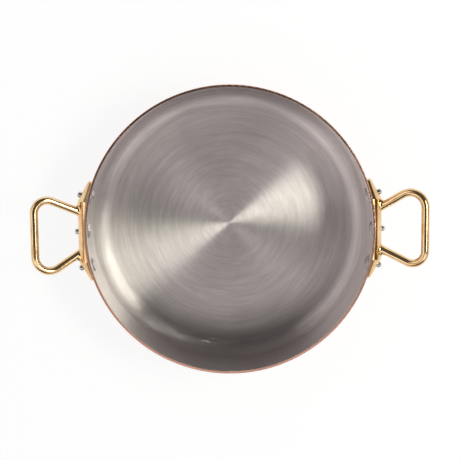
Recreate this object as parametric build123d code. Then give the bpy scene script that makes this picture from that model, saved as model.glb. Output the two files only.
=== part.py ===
"""A round two-handled copper pan, lined with stainless steel.

Millimetres. +Z is up, +X runs from the middle of the pan to the right handle, and the
origin is the middle of the underside, on the surface that the pan stands on.
"""

import os
from math import cos, degrees, radians, sin, sqrt

from build123d import *

# The bowl: one round sheet of copper outside and stainless steel inside
pan_inside_diameter = 280.0
pan_height = 72.0
copper_thickness = 2.3
lining_thickness = 0.2
floor_corner_radius = 18.0
rim_rounding = 0.6

# The pad of each cast handle, which lies on the wall just under the rim
pad_thickness = 7.2
pad_height = 24.0
pad_below_rim = 1.5
pad_flat_width = 60.0
pad_span = 99.0
pad_tip_thickness = 4.8
pad_tip_height = 9.0
pad_tip_rounding = 1.2
pad_burial = 2.0

# The loop of each handle, cast in one piece with its pad
loop_bar_diameter = 8.0
loop_reach = 39.8
loop_rise = 17.0
loop_lean = 4.3
loop_foot_lean = 0.9
loop_foot_raise = 4.0
loop_leg_spacing = 42.7
loop_corner_spacing = 87.6
loop_front_corner_radius = 12.6
loop_rear_corner_radius = 14.8

# The cast fillet where each leg grows out of the pad, and how deep the leg is rooted in it
leg_fillet = 3.0
leg_burial_share = 0.7

# The rivets, three in a level row at each handle, spaced by a share of the pad's span
rivet_spacing_share = 0.3485
rivet_shank_diameter = 5.0
rivet_hole_play = 0.1
rivet_head_diameter = 14.2
rivet_head_height = 2.5
rivet_head_edge = 0.6
rivet_tail_diameter = 6.0
rivet_tail_height = 3.7
rivet_tail_dome = 1.7

# How far a cutting shape runs past what it cuts
overrun = 5.0

# Radii and levels that follow from the sizes above
inside_radius = pan_inside_diameter / 2
bond_radius = inside_radius + lining_thickness
outside_radius = bond_radius + copper_thickness
wall_thickness = copper_thickness + lining_thickness
pad_middle_level = pan_height - pad_below_rim - pad_height / 2
pad_face_distance = outside_radius + pad_thickness
loop_bar_radius = loop_bar_diameter / 2
rivet_spacing = pad_span * rivet_spacing_share


def filled_cup(radius, corner, floor_level, top_level):
    """A solid block with the round shape of the bowl, floor corner included."""
    depth = top_level - floor_level
    bottom = Location((0, 0, floor_level))
    lowest = (Align.CENTER, Align.CENTER, Align.MIN)
    block = bottom * Cylinder(radius, depth, align=lowest)
    floor_edge = block.edges().filter_by(GeomType.CIRCLE).sort_by(Axis.Z)[0]
    return fillet(floor_edge, radius=corner)


def upright_cylinder(radius):
    """A cylinder round the pan's axis that runs past the bowl at both ends."""
    middle = Location((0, 0, pan_height / 2))
    return middle * Cylinder(radius, pan_height + 2 * overrun)


def rivet_angles():
    """Where the three rivets of one handle stand round the wall, in degrees."""
    pitch = degrees(rivet_spacing / outside_radius)
    return {"front": -pitch, "middle": 0, "rear": pitch}


def radial_cylinder(diameter, inner_end, outer_end, angle):
    """A cylinder on a rivet's axis, which points straight out from the wall."""
    start = Plane(origin=(inner_end, 0, pad_middle_level), z_dir=(1, 0, 0))
    from_start = (Align.CENTER, Align.CENTER, Align.MIN)
    length = outer_end - inner_end
    pin = start * Cylinder(diameter / 2, length, align=from_start)
    return pin.rotate(Axis.Z, angle)


def rivet_holes():
    """Cutters for the three holes of the right handle, through wall and pad."""
    hole_diameter = rivet_shank_diameter + 2 * rivet_hole_play
    inner_end = inside_radius - overrun
    outer_end = pad_face_distance + overrun
    return [
        radial_cylinder(hole_diameter, inner_end, outer_end, angle)
        for angle in rivet_angles().values()
    ]


def with_holes_both_sides(layer):
    """A layer of the bowl with its six rivet holes."""
    for hole in rivet_holes():
        layer = layer - hole - hole.rotate(Axis.Z, 180)
    return layer


def copper_body():
    """The outer layer, with the rim's outer edge eased."""
    outer_corner = floor_corner_radius + wall_thickness
    bond_corner = floor_corner_radius + lining_thickness
    outer = filled_cup(outside_radius, outer_corner, 0, pan_height)
    rim_edge = outer.edges().filter_by(GeomType.CIRCLE).sort_by(Axis.Z)[-1]
    outer = fillet(rim_edge, radius=rim_rounding)
    hollow = filled_cup(bond_radius, bond_corner, copper_thickness, pan_height + overrun)
    return with_holes_both_sides(outer - hollow)


def steel_lining():
    """The thin inner layer, bonded face to face to the copper."""
    bond_corner = floor_corner_radius + lining_thickness
    layer = filled_cup(bond_radius, bond_corner, copper_thickness, pan_height)
    hollow = filled_cup(
        inside_radius, floor_corner_radius, wall_thickness, pan_height + overrun
    )
    return with_holes_both_sides(layer - hollow)


def pad_tip():
    """How far out and how far along the wall the front corner of the pad's tip lies."""
    tip_angle = pad_span / 2 / outside_radius
    tip_radius = outside_radius + pad_tip_thickness
    return tip_radius * cos(tip_angle), tip_radius * sin(tip_angle)


def bevel_slope():
    """How far a wing's bevel runs along the wall for each millimetre towards the pan."""
    tip_x, tip_y = pad_tip()
    return (tip_y - pad_flat_width / 2) / (pad_face_distance - tip_x)


def pad_section(facing, middle, depth, height):
    """A section across the pad: an oval whose outer half stands proud of the wall."""
    inward = Vector(0, 0, 1).cross(facing)
    return Plane(origin=middle, x_dir=inward, z_dir=facing) * Ellipse(depth, height / 2)


def pad_middle():
    """The straight middle of the pad, between its two wings."""
    half_width = pad_flat_width / 2
    wall_distance = sqrt(outside_radius * outside_radius - half_width * half_width)
    middle_x = wall_distance - pad_burial
    middle = Vector(middle_x, half_width, pad_middle_level)
    return pad_section(Vector(0, 1, 0), middle, pad_face_distance - middle_x, pad_height)


def pad_end(side, inset):
    """The section near a wing's tip, set in from its end and smaller where the end is rounded."""
    tip_angle = side * (pad_span / 2 - pad_tip_rounding + inset) / outside_radius
    outward = Vector(cos(tip_angle), sin(tip_angle), 0)
    facing = Vector(-sin(tip_angle), cos(tip_angle), 0)
    middle = outward * (outside_radius - pad_burial) + Vector(0, 0, pad_middle_level)
    depth = pad_burial + pad_tip_thickness - inset
    return pad_section(facing, middle, depth, pad_tip_height - 2 * inset)


def wing(side):
    """One wing, from the pad's straight middle to its rounded tip."""
    root = pad_middle()
    if side < 0:
        root = root.mirror(Plane.XZ)
    body = loft([root, pad_end(side, 0)], ruled=True)
    end = loft([pad_end(side, 0), pad_end(side, pad_tip_rounding)], ruled=True)
    return body + end


def pad():
    """The pad with its wings, and its back cut to lie on the wall."""
    middle = extrude(pad_middle(), amount=-pad_flat_width)
    return middle + wing(-1) + wing(1) - upright_cylinder(outside_radius)


def leg_line(side):
    """A leg's middle line: where it leaves the pad, and the loop's corner that it runs to."""
    foot = Vector(
        pad_face_distance,
        side * loop_leg_spacing / 2 + loop_foot_lean,
        pad_middle_level + loop_foot_raise,
    )
    corner = Vector(
        pad_face_distance + loop_reach,
        side * loop_corner_spacing / 2 + loop_lean,
        pad_middle_level + loop_foot_raise + loop_rise,
    )
    return foot, corner


def leg_root(side):
    """Where a leg's middle line starts, inside the pad."""
    foot, corner = leg_line(side)
    return foot - (corner - foot).normalized() * pad_thickness * leg_burial_share


def loop_bar():
    """The round bar of the loop, from inside the pad at one leg to inside it at the other."""
    points = (leg_root(-1), leg_line(-1)[1], leg_line(1)[1], leg_root(1))
    corner_radii = (loop_front_corner_radius, loop_rear_corner_radius)
    path = FilletPolyline(*points, radius=corner_radii)
    section = Plane(origin=path @ 0, z_dir=path % 0) * Circle(loop_bar_radius)
    return sweep(section, path=path)


def leg_seams(casting):
    """The two curves where the legs come out of the pad."""
    sharp = (GeomType.LINE, GeomType.CIRCLE, GeomType.ELLIPSE)
    feet = [leg_line(side)[0] for side in (-1, 1)]
    return [
        edge
        for edge in casting.edges()
        if edge.geom_type not in sharp
        and min((edge.center() - foot).length for foot in feet) < loop_bar_diameter
    ]


def right_handle():
    """The pad and the loop, with cast fillets at the legs and three rivet holes."""
    casting = pad() + loop_bar()
    casting = fillet(leg_seams(casting), radius=leg_fillet)
    for hole in rivet_holes():
        casting = casting - hole
    return casting


def domed_disc(diameter, height, dome):
    """A disc that stands on the origin, with the last part of its height a round dome."""
    half = diameter / 2
    ball_radius = (half * half + dome * dome) / (2 * dome)
    lowest = (Align.CENTER, Align.CENTER, Align.MIN)
    ball = Location((0, 0, height - ball_radius)) * Sphere(ball_radius)
    return Cylinder(half, height, align=lowest) & ball


def pad_face_along(angle):
    """How far from the pan's axis a rivet's axis comes out of the pad."""
    turn = radians(abs(angle))
    on_flat = pad_face_distance / cos(turn)
    bevel_reach = pad_flat_width / 2 + bevel_slope() * pad_face_distance
    on_bevel = bevel_reach / (sin(turn) + bevel_slope() * cos(turn))
    return min(on_flat, on_bevel)


def rivet(angle):
    """One rivet: a low dome inside the pan, the shank, and a short domed tail outside."""
    head_dome = rivet_head_height - rivet_head_edge
    head_seat = Plane(origin=(inside_radius, 0, pad_middle_level), z_dir=(-1, 0, 0))
    head = head_seat * domed_disc(rivet_head_diameter, rivet_head_height, head_dome)
    head = head.rotate(Axis.Z, angle) & upright_cylinder(inside_radius)
    buried = pad_thickness / 2
    face = pad_face_along(angle)
    tail_seat = Plane(origin=(face - buried, 0, pad_middle_level), z_dir=(1, 0, 0))
    tail = tail_seat * domed_disc(
        rivet_tail_diameter, rivet_tail_height + buried, rivet_tail_dome
    )
    tail = tail.rotate(Axis.Z, angle) - pad()
    shank_start = inside_radius - rivet_head_height / 2
    shank_end = face + rivet_tail_height / 2
    shank = radial_cylinder(rivet_shank_diameter, shank_start, shank_end, angle)
    return head + shank + tail


def pan_parts():
    """Every piece by name. Each handle side is the other one turned half way round."""
    handle = right_handle()
    parts = {
        "copper_body": copper_body(),
        "steel_lining": steel_lining(),
        "handle_right": handle,
        "handle_left": handle.rotate(Axis.Z, 180),
    }
    opposite = {"front": "rear", "middle": "middle", "rear": "front"}
    for place, angle in rivet_angles().items():
        right_rivet = rivet(angle)
        parts[f"rivet_right_{place}"] = right_rivet
        parts[f"rivet_left_{opposite[place]}"] = right_rivet.rotate(Axis.Z, 180)
    return parts


os.makedirs("parts", exist_ok=True)
for name, shape in pan_parts().items():
    export_step(shape, f"parts/{name}.step")
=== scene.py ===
"""Looks of the two-handled copper pan: floor, light, camera and materials.

Metres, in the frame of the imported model. +X runs to the right handle, +Z is up.
"""

from math import cos, radians, sin

import bpy
from mathutils import Matrix, Vector

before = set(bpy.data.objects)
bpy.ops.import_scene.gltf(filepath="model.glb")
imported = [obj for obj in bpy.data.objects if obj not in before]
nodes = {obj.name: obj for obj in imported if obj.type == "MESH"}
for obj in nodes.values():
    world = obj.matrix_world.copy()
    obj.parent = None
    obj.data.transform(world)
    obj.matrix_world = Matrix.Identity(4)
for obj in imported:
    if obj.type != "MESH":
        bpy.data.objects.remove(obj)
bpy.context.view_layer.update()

SIDES = ("left", "right")
RIVET_PLACES = ("rear", "middle", "front")

# The pan
RIM_HEIGHT = 0.072
WALL_OUTSIDE = 0.1425

# The floor: half its width, and its colour and glow where the camera or a reflection sees it
FLOOR_HALF_WIDTH = 3.0
FLOOR_COLOUR = (0.8, 0.8, 0.8, 1)
FLOOR_SEEN_COLOUR = (0.2, 0.2, 0.2, 1)
FLOOR_SEEN_GLOW = 0.86

# The sky that lights the object, and the studio that its metals reflect
FILL_COLOUR = (0.93, 0.95, 1.0, 1)
FILL_STRENGTH = 0.45
HORIZON = (0.96, 0.96, 0.95, 1)
CEILING = (0.04, 0.038, 0.038, 1)
LOW_DARK, LOW_BRIGHT = (0.06, 0.055, 0.055, 1), (0.42, 0.40, 0.39, 1)
MIDDLE_DARK, MIDDLE_BRIGHT = (0.09, 0.085, 0.085, 1), (1.45, 1.38, 1.37, 1)
CORNER_BRIGHT = (1.0, 0.96, 0.94, 1)
HIGH_DARK, HIGH_BRIGHT = (0.10, 0.095, 0.095, 1), (1.4, 1.34, 1.32, 1)

# Where each part of that studio begins and ends, as the sine of its angle over the horizon
LOW_STARTS = (0.16, 0.26)
MIDDLE_STARTS = (0.44, 0.52)
HIGH_STARTS = (0.72, 0.82)
CEILING_STARTS = (0.945, 0.985)

# Its bright walls: azimuth from +X in degrees, and the cosines where each fades in
LEFT_WALL = (185.0, 0.45, 0.82)
CORNER_WALL = (318.0, 0.88, 0.975)
FRONT_WALL = (270.0, 0.48, 0.84)

# The softboxes face the middle of the pan
LAMP_COLOUR = (0.98, 1.0, 0.88)
LAMP_AIM = Vector((0, 0, 0.05))

# The camera: how far it leans back from straight down, its roll, distance and lens
CAMERA_TILT = radians(7.74)
CAMERA_ROLL = radians(-0.59)
CAMERA_DISTANCE = 1.1
CAMERA_LENS = 88.2
CAMERA_AIM = Vector((0.0001, 0.0016, RIM_HEIGHT))

scene = bpy.context.scene
scene.view_settings.view_transform = "Standard"


# Node helpers


class Tree:
    """A short way to add nodes to a material, a group or the world."""

    def __init__(self, tree):
        self.tree = tree

    def add(self, kind, inputs=None, **settings):
        node = self.tree.nodes.new(kind)
        for name, value in settings.items():
            setattr(node, name, value)
        for name, value in (inputs or {}).items():
            self.put(node.inputs[name], value)
        return node

    def put(self, socket, value):
        if isinstance(value, bpy.types.NodeSocket):
            self.tree.links.new(value, socket)
        else:
            socket.default_value = value

    def math(self, operation, first, second=0.0):
        node = self.add("ShaderNodeMath", operation=operation)
        for socket, value in zip(node.inputs, (first, second)):
            self.put(socket, value)
        return node.outputs[0]

    def mix(self, share, first, second):
        node = self.add("ShaderNodeMix", data_type="RGBA")
        self.put(node.inputs["Factor"], share)
        self.put(node.inputs[6], first)
        self.put(node.inputs[7], second)
        return node.outputs[2]

    def blend_value(self, share, first, second):
        node = self.add("ShaderNodeMix", data_type="FLOAT")
        self.put(node.inputs["Factor"], share)
        self.put(node.inputs[2], first)
        self.put(node.inputs[3], second)
        return node.outputs[0]

    def spread(self, value, low, high, to_low=0.0, to_high=1.0):
        node = self.add("ShaderNodeMapRange", interpolation_type="SMOOTHSTEP")
        for name, number in (("Value", value), ("From Min", low), ("From Max", high),
                             ("To Min", to_low), ("To Max", to_high)):
            self.put(node.inputs[name], number)
        return node.outputs[0]

    def noise(self, vector, scale, detail=2.0, roughness=0.5):
        node = self.add("ShaderNodeTexNoise", {
            "Vector": vector, "Scale": scale, "Detail": detail, "Roughness": roughness})
        return node.outputs["Fac"]

    def vector(self, x, y, z):
        return self.add("ShaderNodeCombineXYZ", {"X": x, "Y": y, "Z": z}).outputs[0]

    def split(self, vector):
        return self.add("ShaderNodeSeparateXYZ", {"Vector": vector}).outputs

    def bump(self, height, strength, distance, normal=None):
        node = self.add("ShaderNodeBump", {"Height": height, "Strength": strength, "Distance": distance})
        if normal is not None:
            self.put(node.inputs["Normal"], normal)
        return node.outputs[0]


def group(name, inputs, outputs):
    """A new shader node group with named inputs and outputs, each a (name, kind, default)."""
    tree = bpy.data.node_groups.new(name, "ShaderNodeTree")
    for in_out, sockets in (("INPUT", inputs), ("OUTPUT", outputs)):
        for socket_name, kind, default in sockets:
            socket = tree.interface.new_socket(name=socket_name, in_out=in_out,
                                               socket_type="NodeSocket" + kind)
            if default is not None:
                socket.default_value = default
    helper = Tree(tree)
    return helper, helper.add("NodeGroupInput").outputs, helper.add("NodeGroupOutput").inputs


def use(helper, tree, **inputs):
    """A group put to use in a material, with some of its inputs set. Returns its outputs."""
    node = helper.add("ShaderNodeGroup")
    node.node_tree = tree.tree
    for name, value in inputs.items():
        helper.put(node.inputs[name.replace("_", " ")], value)
    return node.outputs


def new_material(name, **shader):
    """A material with one principled shader, whose plain numbers are set on its own sockets."""
    material = bpy.data.materials.new(name)
    material.use_nodes = True
    helper = Tree(material.node_tree)
    surface = material.node_tree.nodes["Principled BSDF"]
    for socket, value in shader.items():
        surface.inputs[socket.replace("_", " ")].default_value = value
    return material, helper, surface.inputs


def dress(node_name, material):
    nodes[node_name].data.materials.clear()
    nodes[node_name].data.materials.append(material)


# Shared effects


def ring_marks_group():
    """Fine marks left by turning or brushing a round piece: arcs round the pan's axis."""
    tree, given, out = group(
        "ring marks",
        [("Fineness", "Float", 1.0), ("Arc Length", "Float", 1.0), ("Seed", "Float", 0.0)],
        [("Fine", "Float", None), ("Broad", "Float", None), ("Distance", "Float", None)],
    )
    place = tree.add("ShaderNodeTexCoord").outputs["Object"]
    x, y, z = tree.split(place)
    reach = tree.math("SQRT", tree.math("ADD", tree.math("MULTIPLY", x, x), tree.math("MULTIPLY", y, y)))
    safe = tree.math("MAXIMUM", reach, 0.0005)
    along = tree.math("ADD", reach, z)
    turn_x = tree.math("DIVIDE", x, safe)
    turn_y = tree.math("DIVIDE", y, safe)
    arc = tree.math("DIVIDE", 4.0, given["Arc Length"])

    def streaks(per_metre, arc_share, detail):
        step = tree.math("MULTIPLY", along, tree.math("MULTIPLY", given["Fineness"], per_metre))
        shift = tree.math("ADD", step, given["Seed"])
        spot = tree.vector(shift, tree.math("MULTIPLY", turn_x, tree.math("MULTIPLY", arc, arc_share)),
                           tree.math("MULTIPLY", turn_y, tree.math("MULTIPLY", arc, arc_share)))
        return tree.noise(spot, 1.0, detail, 0.6)

    tree.put(out["Fine"], streaks(2600.0, 1.0, 3.0))
    tree.put(out["Broad"], streaks(260.0, 0.45, 4.0))
    tree.put(out["Distance"], reach)
    return tree


def handling_wear_group():
    """Soft patches and small scratches from years of use, as masks between 0 and 1."""
    tree, given, out = group(
        "handling wear",
        [("Patch Size", "Float", 0.03), ("Scratch Size", "Float", 0.006), ("Seed", "Float", 0.0)],
        [("Patches", "Float", None), ("Scratches", "Float", None), ("Specks", "Float", None)],
    )
    place = tree.add("ShaderNodeTexCoord").outputs["Object"]
    shift = tree.add("ShaderNodeVectorMath", operation="ADD")
    tree.put(shift.inputs[0], place)
    tree.put(shift.inputs[1], tree.vector(given["Seed"], given["Seed"], given["Seed"]))
    spot = shift.outputs[0]
    patches = tree.noise(spot, tree.math("DIVIDE", 1.0, given["Patch Size"]), 5.0, 0.55)
    tree.put(out["Patches"], tree.spread(patches, 0.38, 0.66))
    bent = tree.add("ShaderNodeTexNoise", {"Vector": spot, "Scale": tree.math(
        "DIVIDE", 0.3, given["Scratch Size"]), "Detail": 2.0}).outputs["Color"]
    bend = tree.add("ShaderNodeVectorMath", operation="SCALE")
    tree.put(bend.inputs[0], bent)
    bend.inputs["Scale"].default_value = 0.01
    moved = tree.add("ShaderNodeVectorMath", operation="ADD")
    tree.put(moved.inputs[0], spot)
    tree.put(moved.inputs[1], bend.outputs[0])
    cells = tree.add("ShaderNodeTexVoronoi", {
        "Vector": moved.outputs[0], "Scale": tree.math("DIVIDE", 1.0, given["Scratch Size"])},
        feature="DISTANCE_TO_EDGE").outputs["Distance"]
    line = tree.spread(cells, 0.0, 0.03, 1.0, 0.0)
    gate = tree.spread(tree.noise(spot, tree.math("DIVIDE", 0.5, given["Scratch Size"]), 2.0), 0.5, 0.62)
    tree.put(out["Scratches"], tree.math("MULTIPLY", line, gate))
    specks = tree.noise(spot, tree.math("DIVIDE", 3.0, given["Scratch Size"]), 2.0, 0.5)
    tree.put(out["Specks"], tree.spread(specks, 0.62, 0.74))
    return tree


ring_marks = ring_marks_group()
handling_wear = handling_wear_group()


# Materials


def lining_material():
    """Stainless steel, brushed in rings round the middle of the pan."""
    material, tree, shader = new_material(
        "brushed steel lining", Metallic=1.0, Anisotropic=1.0, Anisotropic_Rotation=0.25)
    marks = use(tree, ring_marks, Fineness=1.0, Arc_Length=1.0)
    wear = use(tree, handling_wear, Patch_Size=0.05, Scratch_Size=0.012, Seed=3.0)
    base = tree.mix(tree.spread(marks["Broad"], 0.3, 0.7), (0.72, 0.67, 0.665, 1), (0.86, 0.80, 0.795, 1))
    base = tree.mix(tree.math("MULTIPLY", wear["Patches"], 0.18), base, (0.5, 0.47, 0.44, 1))
    base = tree.mix(tree.math("MULTIPLY", wear["Specks"], 0.08), base, (0.40, 0.37, 0.36, 1))
    grooves = tree.spread(marks["Fine"], 0.36, 0.62, 0.34, 0.0)
    base = tree.mix(grooves, base, (0.46, 0.42, 0.41, 1))
    tree.put(shader["Base Color"], base)
    rough = tree.blend_value(marks["Fine"], 0.27, 0.36)
    tree.put(shader["Roughness"], tree.math("ADD", rough, tree.math("MULTIPLY", wear["Patches"], 0.03)))
    fine = tree.bump(marks["Fine"], 1.0, 0.00016)
    tree.put(shader["Normal"], tree.bump(marks["Broad"], 0.12, 0.0003, fine))
    tangent = tree.add("ShaderNodeTangent", direction_type="RADIAL", axis="Z")
    tree.put(shader["Tangent"], tangent.outputs[0])
    return material


def copper_material():
    """Polished copper, with faint turning rings, a little tarnish and a duller underside."""
    material, tree, shader = new_material("polished copper", Metallic=1.0)
    marks = use(tree, ring_marks, Fineness=0.8, Arc_Length=2.5, Seed=7.0)
    wear = use(tree, handling_wear, Patch_Size=0.035, Scratch_Size=0.009, Seed=11.0)
    height = tree.split(tree.add("ShaderNodeTexCoord").outputs["Object"])[2]
    below = tree.spread(height, 0.0015, 0.009, 1.0, 0.0)
    base = tree.mix(wear["Patches"], (0.79, 0.45, 0.33, 1), (0.70, 0.38, 0.27, 1))
    base = tree.mix(tree.math("MULTIPLY", below, 0.6), base, (0.45, 0.24, 0.17, 1))
    base = tree.mix(tree.math("MULTIPLY", wear["Specks"], 0.3), base, (0.30, 0.15, 0.11, 1))
    tree.put(shader["Base Color"], base)
    rough = tree.blend_value(wear["Patches"], 0.2, 0.3)
    rough = tree.math("ADD", rough, tree.math("MULTIPLY", below, 0.16))
    rough = tree.math("ADD", rough, tree.math("MULTIPLY", wear["Scratches"], 0.12))
    tree.put(shader["Roughness"], rough)
    fine = tree.bump(marks["Fine"], 0.12, 0.00004)
    tree.put(shader["Normal"], tree.bump(wear["Scratches"], 0.2, 0.00005, fine))
    return material


def brass_material(name, gap_shade_radius):
    """Cast brass, polished bright over the slight waves of the casting."""
    material, tree, shader = new_material(name, Metallic=1.0)
    marks = use(tree, ring_marks, Fineness=1.0, Arc_Length=1.0)
    wear = use(tree, handling_wear, Patch_Size=0.012, Scratch_Size=0.004, Seed=23.0)
    place = tree.add("ShaderNodeTexCoord").outputs["Object"]
    base = tree.mix(wear["Patches"], (0.88, 0.64, 0.37, 1), (0.78, 0.50, 0.24, 1))
    # Painted shade: a dark brown line on the brass within 1.4 mm of the copper wall, where the pad meets
    # it. It stands for the shade in that gap as well as some tarnish there, and it also makes the brass
    # rougher.
    gap_shade_and_tarnish = tree.spread(marks["Distance"], gap_shade_radius, gap_shade_radius + 0.0014, 1.0, 0.0)
    base = tree.mix(tree.math("MULTIPLY", gap_shade_and_tarnish, 0.7), base, (0.16, 0.10, 0.05, 1))
    base = tree.mix(tree.math("MULTIPLY", wear["Specks"], 0.25), base, (0.45, 0.28, 0.12, 1))
    tree.put(shader["Base Color"], base)
    rough = tree.blend_value(wear["Patches"], 0.09, 0.14)
    rough = tree.math("ADD", rough, tree.math("MULTIPLY", gap_shade_and_tarnish, 0.35))
    rough = tree.math("ADD", rough, tree.math("MULTIPLY", wear["Scratches"], 0.08))
    tree.put(shader["Roughness"], rough)
    waves = tree.bump(tree.noise(place, 80.0, 1.0, 0.5), 0.2, 0.0009)
    pits = tree.bump(wear["Specks"], 0.1, 0.00004, waves)
    tree.put(shader["Normal"], tree.bump(wear["Scratches"], 0.12, 0.00003, pits))
    return material


def rivet_material():
    """Stainless steel rivets, satin from the hammer and the polishing wheel."""
    material, tree, shader = new_material("satin rivet steel", Metallic=1.0)
    wear = use(tree, handling_wear, Patch_Size=0.006, Scratch_Size=0.0025, Seed=41.0)
    place = tree.add("ShaderNodeTexCoord").outputs["Object"]
    base = tree.mix(wear["Patches"], (0.68, 0.67, 0.66, 1), (0.52, 0.50, 0.49, 1))
    base = tree.mix(tree.math("MULTIPLY", wear["Specks"], 0.4), base, (0.35, 0.33, 0.32, 1))
    tree.put(shader["Base Color"], base)
    rough = tree.blend_value(wear["Patches"], 0.11, 0.2)
    tree.put(shader["Roughness"], tree.math("ADD", rough, tree.math("MULTIPLY", wear["Scratches"], 0.1)))
    dents = tree.bump(tree.noise(place, 420.0, 2.0, 0.5), 0.3, 0.0003)
    tree.put(shader["Normal"], tree.bump(wear["Scratches"], 0.15, 0.00003, dents))
    return material


dress("copper_body", copper_material())
dress("steel_lining", lining_material())
brass = brass_material("polished cast brass", WALL_OUTSIDE)
rivet_steel = rivet_material()
for side in SIDES:
    dress(f"handle_{side}", brass)
    for place in RIVET_PLACES:
        dress(f"rivet_{side}_{place}", rivet_steel)


# Floor


def ray_share(tree):
    """1 for what the camera sees directly, in a reflection or through glass, 0 for light."""
    path = tree.add("ShaderNodeLightPath").outputs
    seen = tree.math("MAXIMUM", path["Is Camera Ray"], path["Is Glossy Ray"])
    return tree.math("MAXIMUM", seen, path["Is Transmission Ray"])


def floor_material():
    material = bpy.data.materials.new("white floor")
    material.use_nodes = True
    material.node_tree.nodes.clear()
    tree = Tree(material.node_tree)
    seen = ray_share(tree)
    shadowed = tree.add("ShaderNodeBsdfDiffuse", {"Color": FLOOR_SEEN_COLOUR})
    white = tree.add("ShaderNodeEmission", {"Color": (1, 1, 1, 1), "Strength": FLOOR_SEEN_GLOW})
    both = tree.add("ShaderNodeAddShader")
    tree.put(both.inputs[0], shadowed.outputs[0])
    tree.put(both.inputs[1], white.outputs[0])
    plain = tree.add("ShaderNodeBsdfDiffuse", {"Color": FLOOR_COLOUR})
    choice = tree.add("ShaderNodeMixShader", {0: seen})
    tree.put(choice.inputs[1], plain.outputs[0])
    tree.put(choice.inputs[2], both.outputs[0])
    out = tree.add("ShaderNodeOutputMaterial")
    tree.put(out.inputs["Surface"], choice.outputs[0])
    return material


def lay_floor():
    half = FLOOR_HALF_WIDTH
    mesh = bpy.data.meshes.new("floor")
    mesh.from_pydata([(-half, -half, 0), (half, -half, 0), (half, half, 0), (-half, half, 0)],
                     [], [(0, 1, 2, 3)])
    floor = bpy.data.objects.new("floor", mesh)
    scene.collection.objects.link(floor)
    mesh.materials.append(floor_material())


lay_floor()


# Light


def light_world():
    """A white horizon, a bright left side and front, and a dark rear, right side and ceiling."""
    world = bpy.data.worlds.new("studio")
    scene.world = world
    world.use_nodes = True
    world.node_tree.nodes.clear()
    tree = Tree(world.node_tree)
    x, y, z = tree.split(tree.add("ShaderNodeTexCoord").outputs["Generated"])
    level = tree.math("SQRT", tree.math("ADD", tree.math("MULTIPLY", x, x), tree.math("MULTIPLY", y, y)))
    level = tree.math("MAXIMUM", level, 0.001)

    def wall(azimuth, fades_from, full_from):
        along = tree.math("ADD", tree.math("MULTIPLY", x, cos(radians(azimuth))),
                          tree.math("MULTIPLY", y, sin(radians(azimuth))))
        return tree.spread(tree.math("DIVIDE", along, level), fades_from, full_from)

    left = wall(*LEFT_WALL)
    low = tree.mix(left, LOW_DARK, LOW_BRIGHT)
    middle = tree.mix(left, MIDDLE_DARK, MIDDLE_BRIGHT)
    middle = tree.mix(wall(*CORNER_WALL), middle, CORNER_BRIGHT)
    high = tree.mix(wall(*FRONT_WALL), HIGH_DARK, HIGH_BRIGHT)
    sky = tree.mix(tree.spread(z, *MIDDLE_STARTS), low, middle)
    sky = tree.mix(tree.spread(z, *HIGH_STARTS), sky, high)
    sky = tree.mix(tree.spread(z, *CEILING_STARTS), sky, CEILING)
    studio = tree.mix(tree.spread(z, *LOW_STARTS), HORIZON, sky)
    seen_sky = tree.add("ShaderNodeBackground", {"Color": studio, "Strength": 1.0})
    lit_sky = tree.add("ShaderNodeBackground", {"Color": FILL_COLOUR, "Strength": FILL_STRENGTH})
    choice = tree.add("ShaderNodeMixShader", {0: ray_share(tree)})
    tree.put(choice.inputs[1], lit_sky.outputs[0])
    tree.put(choice.inputs[2], seen_sky.outputs[0])
    out = tree.add("ShaderNodeOutputWorld")
    tree.put(out.inputs["Surface"], choice.outputs[0])


def softbox(name, shape, azimuth, elevation, distance, width, height, power):
    """A flat lamp that faces the middle of the pan. Angles in degrees, azimuth from +X."""
    lamp = bpy.data.lights.new(name, "AREA")
    lamp.shape = shape
    lamp.size = width
    lamp.size_y = height
    lamp.energy = power
    lamp.color = LAMP_COLOUR
    box = bpy.data.objects.new(name, lamp)
    level = distance * cos(radians(elevation))
    box.location = LAMP_AIM + Vector((
        level * cos(radians(azimuth)), level * sin(radians(azimuth)),
        distance * sin(radians(elevation))))
    towards = LAMP_AIM - box.location
    box.rotation_euler = towards.to_track_quat("-Z", "Y").to_euler()
    scene.collection.objects.link(box)


light_world()
softbox("wide softbox", "RECTANGLE", 7.0, 52.5, 2.0, 1.08, 0.42, 7.0)
softbox("softbox core", "ELLIPSE", 11.0, 52.5, 1.98, 0.95, 0.42, 7.0)


# Camera


def place_camera():
    """The photograph's view: nearly straight down on the rim."""
    data = bpy.data.cameras.new("camera")
    data.sensor_width = 36.0
    data.lens = CAMERA_LENS
    data.clip_start = 0.05
    camera = bpy.data.objects.new("camera", data)
    back = Vector((0, sin(CAMERA_TILT), cos(CAMERA_TILT)))
    up = Vector((0, cos(CAMERA_TILT), -sin(CAMERA_TILT)))
    side = up.cross(back)
    turned = Matrix((side, up, back)).transposed() @ Matrix.Rotation(CAMERA_ROLL, 3, "Z")
    eye = CAMERA_AIM + back * CAMERA_DISTANCE
    camera.matrix_world = Matrix.Translation(eye) @ turned.to_4x4()
    scene.collection.objects.link(camera)
    scene.camera = camera


place_camera()
